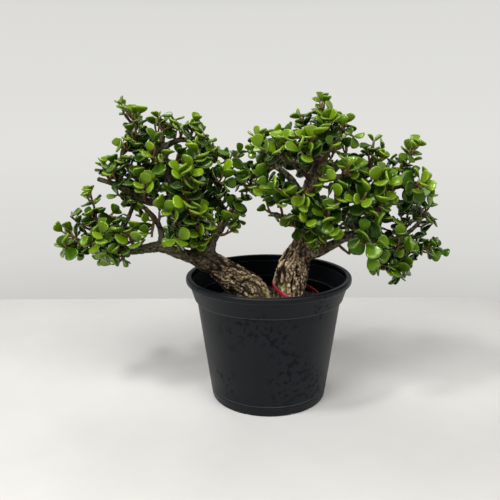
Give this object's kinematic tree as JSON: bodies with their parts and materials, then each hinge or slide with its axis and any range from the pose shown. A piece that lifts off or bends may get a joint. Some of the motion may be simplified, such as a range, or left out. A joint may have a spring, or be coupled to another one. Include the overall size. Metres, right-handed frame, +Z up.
{
  "type": "potted bonsai tree",
  "caption": "Dwarf jade bonsai with thick leaning trunks and small round fleshy leaves, growing in a black plastic nursery pot",
  "frame": {"origin": "middle of the flat underside of the pot, on the surface it stands on", "axes": "+Z up, +X to the right as seen from the front, along the widest spread of the crown, -Y towards the front"},
  "size_m": [0.4627, 0.2, 0.3663],
  "materials": {
    "black_plastic": "satin black, moulded",
    "potting_mix": "loose dark bark and peat mix",
    "red_plastic": "smooth",
    "bark": "furrowed grey-brown bark",
    "foliage": "glossy fleshy leaves on thin stems"
  },
  "bodies": {
    "root": {"nursery_pot": "black_plastic", "soil": "potting_mix", "tie_ring": "red_plastic", "trunk_left": "bark", "trunk_right": "bark", "spray_left_01": "foliage", "spray_left_02": "foliage", "spray_left_03": "foliage", "spray_left_04": "foliage", "spray_left_05": "foliage", "spray_left_06": "foliage", "spray_left_07": "foliage", "spray_left_08": "foliage", "spray_left_09": "foliage", "spray_left_10": "foliage", "spray_left_11": "foliage", "spray_left_12": "foliage", "spray_left_13": "foliage", "spray_left_14": "foliage", "spray_left_15": "foliage", "spray_left_16": "foliage", "spray_left_17": "foliage", "spray_left_18": "foliage", "spray_left_19": "foliage", "spray_left_20": "foliage", "spray_left_21": "foliage", "spray_left_22": "foliage", "spray_left_23": "foliage", "spray_left_24": "foliage", "spray_left_25": "foliage", "spray_left_26": "foliage", "spray_right_01": "foliage", "spray_right_02": "foliage", "spray_right_03": "foliage", "spray_right_04": "foliage", "spray_right_05": "foliage", "spray_right_06": "foliage", "spray_right_07": "foliage", "spray_right_08": "foliage", "spray_right_09": "foliage", "spray_right_10": "foliage", "spray_right_11": "foliage", "spray_right_12": "foliage", "spray_right_13": "foliage", "spray_right_14": "foliage", "spray_right_15": "foliage", "spray_right_16": "foliage", "spray_right_17": "foliage", "spray_right_18": "foliage", "spray_right_19": "foliage", "spray_right_20": "foliage", "spray_right_21": "foliage", "spray_right_22": "foliage", "spray_right_23": "foliage", "spray_right_24": "foliage", "spray_right_25": "foliage", "spray_right_26": "foliage", "spray_right_27": "foliage", "spray_right_28": "foliage", "spray_right_29": "foliage"}
  },
  "joints": []
}
